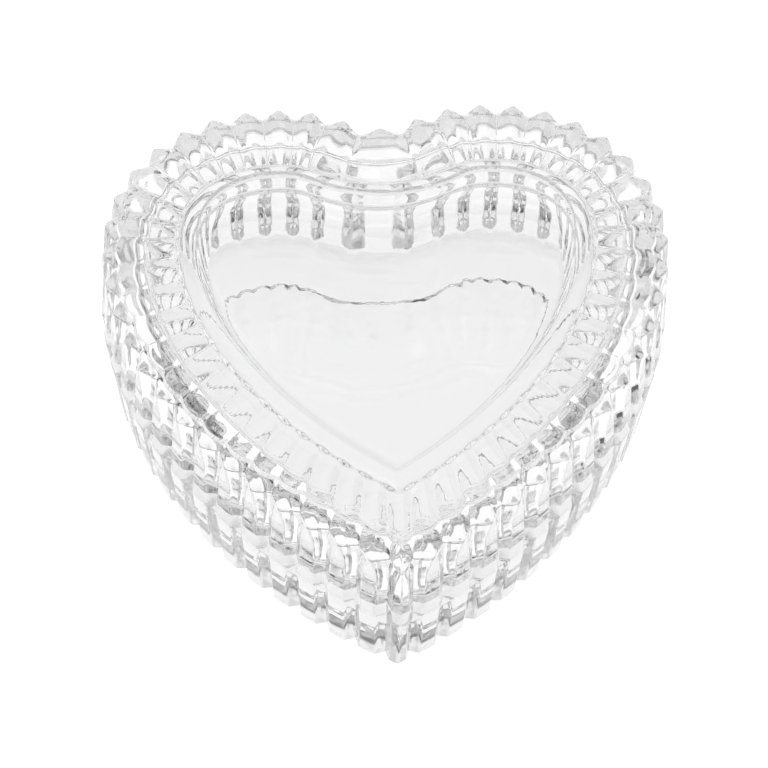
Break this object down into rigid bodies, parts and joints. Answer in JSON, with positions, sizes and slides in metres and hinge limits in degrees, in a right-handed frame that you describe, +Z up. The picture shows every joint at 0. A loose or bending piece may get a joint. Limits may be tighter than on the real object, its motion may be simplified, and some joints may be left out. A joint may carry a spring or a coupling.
{
  "type": "heart-shaped trinket box",
  "caption": "Heart-shaped clear pressed-glass trinket box: ribbed base with a locating collar and a ribbed lift-off lid with a raised rim round a flat top panel.",
  "frame": {"origin": "centre of the footprint's bounding box, on the plane the base stands on", "axes": "+Z up; the point of the heart faces -Y and the cleft faces +Y; the heart is symmetric left to right, across X"},
  "size_m": [0.1, 0.0942, 0.04],
  "materials": {
    "base_glass": "clear, fire-polished",
    "lid_glass": "clear, fire-polished"
  },
  "bodies": {
    "base": {"base": "base_glass"},
    "lid": {"lid": "lid_glass"}
  },
  "joints": [
    {"name": "lid_lift", "type": "slide", "parent": "base", "child": "lid", "axis": [0, 0, 1], "range_m": [0, 0.04]}
  ]
}
